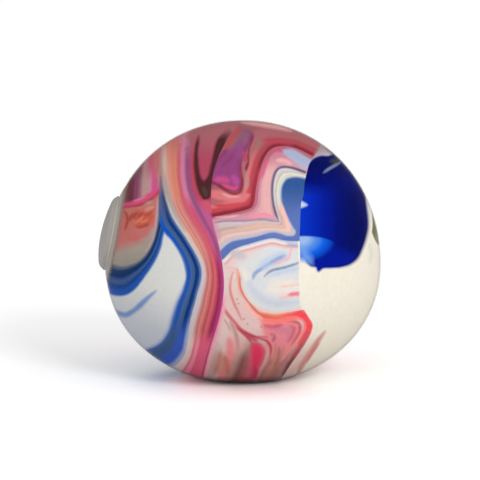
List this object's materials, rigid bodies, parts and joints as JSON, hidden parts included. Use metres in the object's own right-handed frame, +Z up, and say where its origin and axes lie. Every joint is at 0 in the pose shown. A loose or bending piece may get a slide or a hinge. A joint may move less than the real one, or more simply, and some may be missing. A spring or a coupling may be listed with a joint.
{
  "type": "squishy ball",
  "caption": "Palm-size squeeze ball that sags on a flat patch: clear soft skin over marbled dough, with a domed fill plug glued into its side.",
  "frame": {"origin": "middle of the flat patch that the sagging ball rests on", "axes": "+Z up from the table; the fill plug points to -X and 11 degrees up; the marbled face is toward -Y"},
  "size_m": [0.0685, 0.067, 0.0626],
  "materials": {
    "clear_skin": "clear satin thermoplastic rubber",
    "frosted_plug": "frosted translucent thermoplastic rubber",
    "cured_glue": "cured clear adhesive",
    "rose_dough": "soft matte dough, rose with a blue band",
    "white_dough": "soft matte dough, white with blue wisps",
    "coral_dough": "soft matte dough, striped coral, pink and blue",
    "crimson_dough": "soft matte dough, swirled crimson, purple, coral and white",
    "cream_dough": "soft matte dough, cream",
    "blue_dough": "soft matte dough, ultramarine",
    "olive_dough": "soft matte dough, olive"
  },
  "bodies": {
    "ball": {"skin": "clear_skin", "dough_plug_end": "rose_dough", "dough_white_pocket": "white_dough", "dough_striped_fold": "coral_dough", "dough_swirl_fold": "crimson_dough", "dough_white_heart": "white_dough", "dough_coral_tongue": "coral_dough", "dough_cream_end": "cream_dough", "dough_blue_lobe": "blue_dough", "dough_green_lobe": "olive_dough"},
    "plug": {"fill_plug": "frosted_plug", "glue_ring": "cured_glue"}
  },
  "joints": [
    {"name": "squeeze", "type": "slide", "parent": "ball", "child": "plug", "axis": [0.9816, 0, -0.1908], "range_m": [0, 0.01], "stiffness_N_per_m": 900, "deforming": ["skin", "dough_plug_end", "dough_white_pocket", "dough_striped_fold", "dough_swirl_fold", "dough_white_heart", "dough_coral_tongue", "dough_cream_end", "dough_blue_lobe", "dough_green_lobe"]}
  ]
}
